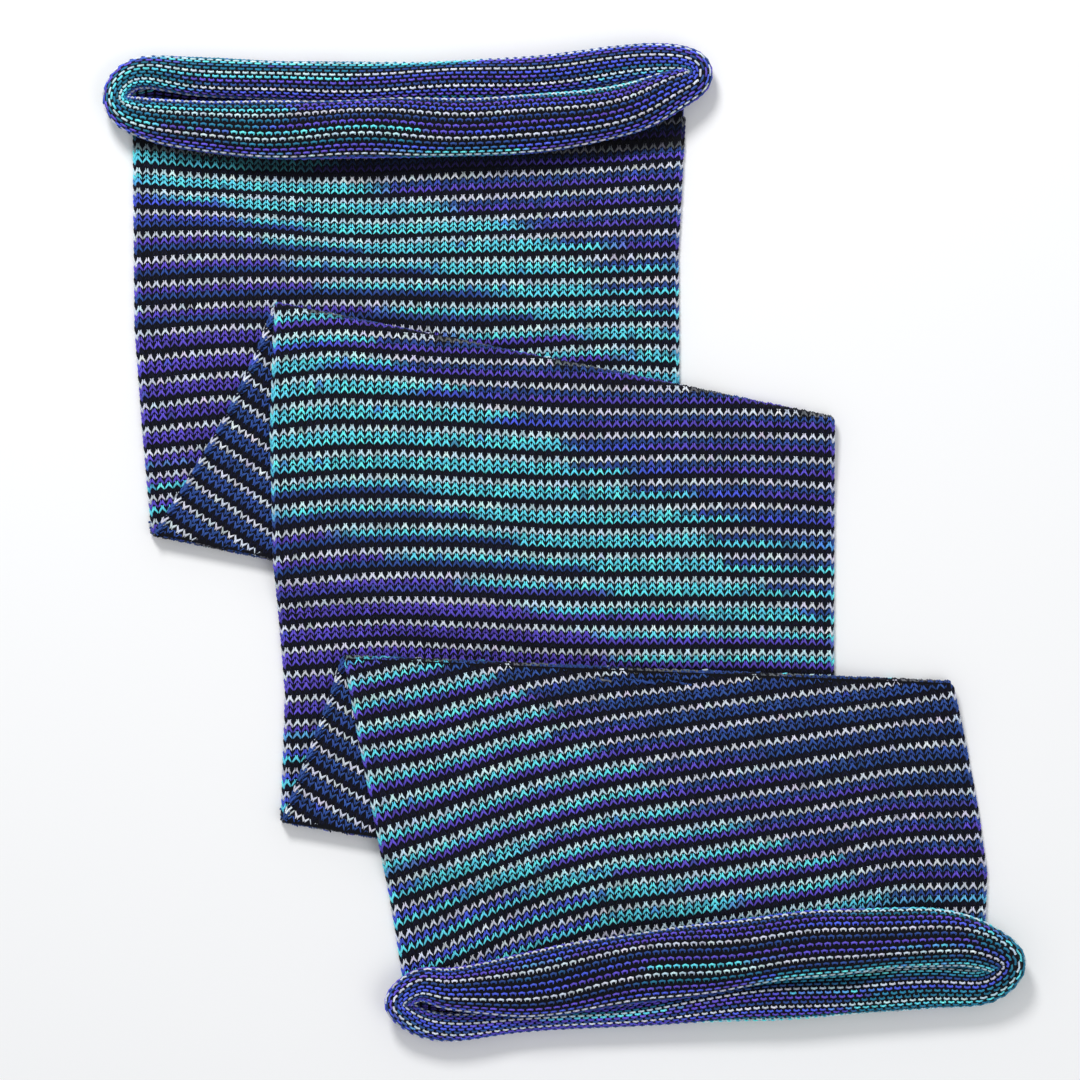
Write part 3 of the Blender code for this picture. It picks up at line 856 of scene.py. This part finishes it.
# ---------------------------------------------------------------- the rims --
def rim_line(stations, leg, swell):
    """Evenly spaced closed centre line of a rim: x, y, half width, centre height,
    half height at 512 places, in layout mm.  swell is how much each lip bulges
    towards the other, so that they meet along the mouth."""
    st = np.array(stations)
    ahead = np.roll(st[:, :2], -1, 0) - np.roll(st[:, :2], 1, 0)
    ahead /= np.linalg.norm(ahead, axis=1)[:, None]
    middle = st[:, :2].mean(0)
    inward = np.stack([-ahead[:, 1], ahead[:, 0]], 1)
    inward *= np.sign(((middle - st[:, :2]) * inward).sum(1))[:, None]
    st[:, :2] += inward * np.array(swell)[:, None]
    st[:, 2] += np.array(swell)
    n = len(st)
    t = np.arange(n * 24) / 24.0
    i = t.astype(int)
    f = (t - i)[:, None]
    p0, p1, p2, p3 = (st[(i + k) % n] for k in (-1, 0, 1, 2))
    p = 0.5 * (2 * p1 + (p2 - p0) * f + (2 * p0 - 5 * p1 + 4 * p2 - p3) * f ** 2
               + (3 * p1 - p0 - 3 * p2 + p3) * f ** 3)
    step = np.linalg.norm(np.roll(p[:, :2], -1, 0) - p[:, :2], axis=1)
    length = np.concatenate([[0], np.cumsum(step)])
    closed = np.concatenate([p, p[:1]])
    even = np.linspace(0, length[-1], 513)
    q = np.stack([np.interp(even, length, closed[:, k]) for k in range(5)], 1)[:-1]
    tangent = np.roll(q[:, :2], -2, 0) - np.roll(q[:, :2], 2, 0)
    tangent /= np.linalg.norm(tangent, axis=1)[:, None]
    nx, ny = -tangent[:, 1], tangent[:, 0]
    under = np.zeros(512)
    for g in np.linspace(-0.9, 0.9, 13):
        h = base(leg, q[:, 0] + nx * q[:, 2] * g, q[:, 1] + ny * q[:, 2] * g)
        under = np.maximum(under, h - q[:, 4] * (1 - np.sqrt(1 - g * g)))
    zc = under + np.maximum(q[:, 3], 0) + q[:, 4]
    return np.stack([q[:, 0], q[:, 1], q[:, 2], zc, q[:, 4], nx, ny], 1), length[-1]


def rim_surface(line, stitches, courses):
    ext = np.concatenate([line, line[:1]])
    grid = np.arange(513)

    def surface(s, c):
        k = np.mod(s / stitches, 1.0) * 512
        x, y, w, zc, h, nx, ny = (np.interp(k, grid, ext[:, j]) for j in range(7))
        size = np.hypot(nx, ny)
        nx, ny = nx / size, ny / size
        turn = 2 * np.pi * s / stitches
        th = -2 * np.pi * c / courses - np.pi / 2
        th = th + 0.12 * np.sin(3 * turn + 1.0) + 0.07 * np.sin(7 * turn + 2.0)
        w = w * (1 + 0.02 * np.sin(9 * turn + 0.5))
        return np.stack([x + nx * (w - 0.5) * np.cos(th) - CENTRE[0],
                         y + ny * (w - 0.5) * np.cos(th) - CENTRE[1],
                         zc + (h - 0.5) * np.sin(th)], -1)
    return surface


RIM_COURSES = 28
rims = {}
UPPER_SWELL = (0, 0.3, 1.4, 2.3, 2.5, 2.5, 2.4, 1.8, 0.8, 0, 0, 0.4, 1.1, 1.2, 1.3, 1.2, 1.0,
               0.3, 0)
LOWER_SWELL = (0, 0.2, 1.0, 1.8, 2.2, 2.2, 2.1, 2.0, 1.7, 0.8, 0, 0.5, 1.2, 1.7, 1.8, 1.4, 0.6,
               0.6, 0.3, 0)
for key, stations, leg, body, node, swell in (
        ("rim1", UPPER_RIM, "leg1", "upper_panel", "upper", UPPER_SWELL),
        ("rim2", LOWER_RIM, "leg5", "lower_panel", "lower", LOWER_SWELL)):
    line, length = rim_line(stations, leg, swell)
    stitches = int(round(length / 3.95))
    surface = rim_surface(line, stitches, RIM_COURSES)
    UPSIDE[0] = False

    def tint(s, c, key=key, surface=surface):
        p = surface(s, c)
        return colour(key, c, (p[:, 0] + CENTRE[0]) / UNIT + 566.0, p[:, 1])

    rims[key] = []
    for i in range(2):
        cs = range(i * RIM_COURSES // 2, (i + 1) * RIM_COURSES // 2)
        obj = yarn(f"{node}_rim_knit_{i + 1}", surface, cs, 0, stitches,
                   lambda s, c: np.ones(len(s), bool), tint, RIM, purl=True, closed=True,
                   head=1.0, points=8, radius=0.52, sway=0.17, tall=0.42, deep=0.55, sink=0.0,
                   shear=0.44)
        ride(obj, body)
        rims[key].append(obj)
    # the dark core inside the roll
    m, sides = 256, 20
    ss, cc = np.meshgrid(np.arange(m) * stitches / m, np.arange(sides) * RIM_COURSES / sides,
                         indexing="ij")
    pts = surface(ss.ravel(), cc.ravel())
    mid = np.stack([np.interp(ss.ravel() / stitches * 512, np.arange(513),
                              np.concatenate([line[:, j], line[:1, j]])) for j in (0, 1, 3)], 1)
    mid[:, :2] -= np.array(CENTRE)
    away = pts - mid
    pts = mid + away * (1 + 0.26 / np.maximum(np.linalg.norm(away, axis=1), 1))[:, None]
    idx = np.arange(m * sides).reshape(m, sides)
    a, b = np.roll(idx, -1, 0), np.roll(idx, -1, 1)
    faces = np.stack([idx, a, np.roll(a, -1, 1), b], -1).reshape(-1, 4)
    core = mesh_object(f"{node}_rim_core", pts, faces, LINING, None,
                       (("grid", "FLOAT_VECTOR",
                         np.stack([ss.ravel(), cc.ravel(), 0 * cc.ravel()], 1)),))
    ride(core, body)
    rims[key].append(core)

# The inside of the back wall, seen between the lips of each mouth.
for key, leg, body, node, xs, back, front, high in (
        ("rim1", "leg1", "upper_panel", "upper",
         (-199.0, -187.0, -166.3, -120.9, -75.4, -35.9, -2.7, 29.1, 47.0, 54.0),
         (205.0, 211.5, 212.4, 210.6, 210.6, 211.5, 214.2, 218.4, 218.0, 214.0),
         (201.5, 198.0, 191.5, 188.5, 188.5, 189.0, 191.5, 198.0, 206.0, 210.5), 0.0),
        ("rim2", "leg5", "lower_panel", "lower",
         (-70.0, -55.0, -20.9, 24.5, 60.9, 102.7, 139.1, 165.4, 188.0, 196.0),
         (-213.5, -217.0, -217.6, -215.4, -211.4, -208.2, -205.0, -202.9, -199.5, -195.5),
         (-206.5, -204.5, -202.5, -197.0, -191.0, -184.5, -181.0, -181.0, -186.0, -190.5),
         0.0)):
    count = int((xs[-1] - xs[0]) / 3.9)

    def surface(s, c, xs=xs, back=back, front=front, count=count, leg=leg):
        x = xs[0] + (xs[-1] - xs[0]) * s / count
        yb, yf = np.interp(x, xs, back), np.interp(x, xs, front)
        f = c / 9.0
        y = yb + (yf - yb) * f
        z = 8.2 - 4.2 * np.sin(np.pi * np.clip(f, 0, 1)) + base(leg, x, y) * f
        return np.stack([x - CENTRE[0], y - CENTRE[1], z], -1)

    # the inside of the mouth is dimmed to 0.55 of its colour: painted shade between the lips
    def tint(s, c, key=key, surface=surface):
        p = surface(s, c)
        return 0.55 * colour(key, c + 2, (p[:, 0] + CENTRE[0]) / UNIT + 566.0, p[:, 1])

    UPSIDE[0] = key == "rim1"
    probe = surface(np.array([5.0, 6.0, 5.0]), np.array([4.0, 4.0, 5.0]))
    UPSIDE[0] = np.cross(probe[1] - probe[0], probe[2] - probe[0])[2] < 0
    obj = yarn(f"{node}_mouth_knit", surface, range(1, 9), 0, count,
               lambda s, c: np.ones(len(s), bool), tint, RIM, purl=True, head=1.0,
               points=8, radius=0.45, sway=0.17, tall=0.42, deep=0.55, sink=0.3)
    ss, cc = np.meshgrid(np.linspace(0, count, 90), np.linspace(0, 9, 13), indexing="ij")
    pts = surface(ss.ravel(), cc.ravel())
    idx = np.arange(90 * 13).reshape(90, 13)
    faces = np.stack([idx[:-1, :-1], idx[1:, :-1], idx[1:, 1:], idx[:-1, 1:]], -1).reshape(-1, 4)
    if UPSIDE[0]:
        faces = faces[:, ::-1]
    base_sheet = mesh_object(f"{node}_mouth_lining", pts, faces, LINING, None,
                             (("grid", "FLOAT_VECTOR",
                               np.stack([ss.ravel(), cc.ravel(), 0 * cc.ravel()], 1)),))
    for piece in (obj, base_sheet):
        ride(piece, body)
        rims[key].append(piece)

# -------------------------------------------------------------- the linings --
NODES = {"leg1": ("upper_panel_back", "upper_panel_front"),
         "leg2": ("upper_return_front", "upper_return_back"),
         "leg3": ("middle_panel_back", "middle_panel_front"),
         "leg4": ("lower_return_front", "lower_return_back"),
         "leg5": ("lower_panel_back", "lower_panel_front")}
PANEL = {"leg1": "upper_panel_lining", "leg2": "upper_return_lining",
         "leg3": "middle_panel_lining", "leg4": "lower_return_lining",
         "leg5": "lower_panel_lining"}
for leg in SIDES:
    tube = lining(PANEL[leg], leg, 56, 80, 0.012 if leg != "leg1" else 0.0,
                  0.988 if leg != "leg5" else 1.0)
    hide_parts(*NODES[leg])
    ride(tube, BODY[leg])
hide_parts("upper_rolled_rim")
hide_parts("lower_rolled_rim")

for leg in SIDES:
    left, right = (np.array(p) for p in SIDES[leg])
    long = (np.linalg.norm(np.diff(left, axis=0), axis=1).sum()
            + np.linalg.norm(np.diff(right, axis=0), axis=1).sum()) / 2000
    area = 0.0
    for i in range(len(left) - 1):
        quad = np.array([left[i], right[i], right[i + 1], left[i + 1]])
        nxt = np.roll(quad, -1, 0)
        area += abs((quad[:, 0] * nxt[:, 1] - quad[:, 1] * nxt[:, 0]).sum()) / 2
    area *= 2e-6
    wide = 0.5 * (0.5 * (right[:, 0].mean() - left[:, 0].mean())) / 1000 * 4
    wide = max(wide, area / long * 1.001)

# ------------------------------------------------------- floor, light, view --
bpy.ops.mesh.primitive_plane_add(size=8.0, location=(0, 0, -0.0006))
floor = bpy.context.object
floor.name = "floor"
fm = bpy.data.materials.new("pale_floor")
fm.use_nodes = True
fs = fm.node_tree.nodes["Principled BSDF"]
fs.inputs["Base Color"].default_value = (0.93, 0.93, 0.93, 1)
fs.inputs["Roughness"].default_value = 0.9
fs.inputs["Specular IOR Level"].default_value = 0.1
floor.data.materials.append(fm)


def area_light(name, place, aim, size, power):
    data = bpy.data.lights.new(name, "AREA")
    data.shape = "DISK"
    data.size = size
    data.energy = power
    obj = bpy.data.objects.new(name, data)
    obj.location = place
    obj.rotation_euler = (Vector(aim) - Vector(place)).to_track_quat("-Z", "Y").to_euler()
    bpy.context.scene.collection.objects.link(obj)


area_light("key", (-0.45, 1.25, 1.25), (0, 0, 0), 0.5, 21.0)
area_light("fill", (0.9, -0.6, 1.6), (0, 0, 0), 1.2, 6.0)
world_ = bpy.data.worlds.new("studio")
world_.use_nodes = True
world_.node_tree.nodes["Background"].inputs["Color"].default_value = (0.95, 0.97, 1.0, 1)
world_.node_tree.nodes["Background"].inputs["Strength"].default_value = 0.52
bpy.context.scene.world = world_

cam_data = bpy.data.cameras.new("camera")
cam_data.sensor_width = 36.0
cam_data.lens = 150.0
cam_data.clip_end = 20.0
cam = bpy.data.objects.new("camera", cam_data)
SPAN = 0.49086
height = SPAN * cam_data.lens / cam_data.sensor_width
cam.location = (-0.01096, 0.0011, height + 0.007)
cam.rotation_euler = (0, 0, 0)
bpy.context.scene.collection.objects.link(cam)
bpy.context.scene.camera = cam
bpy.context.scene.view_settings.view_transform = "Standard"
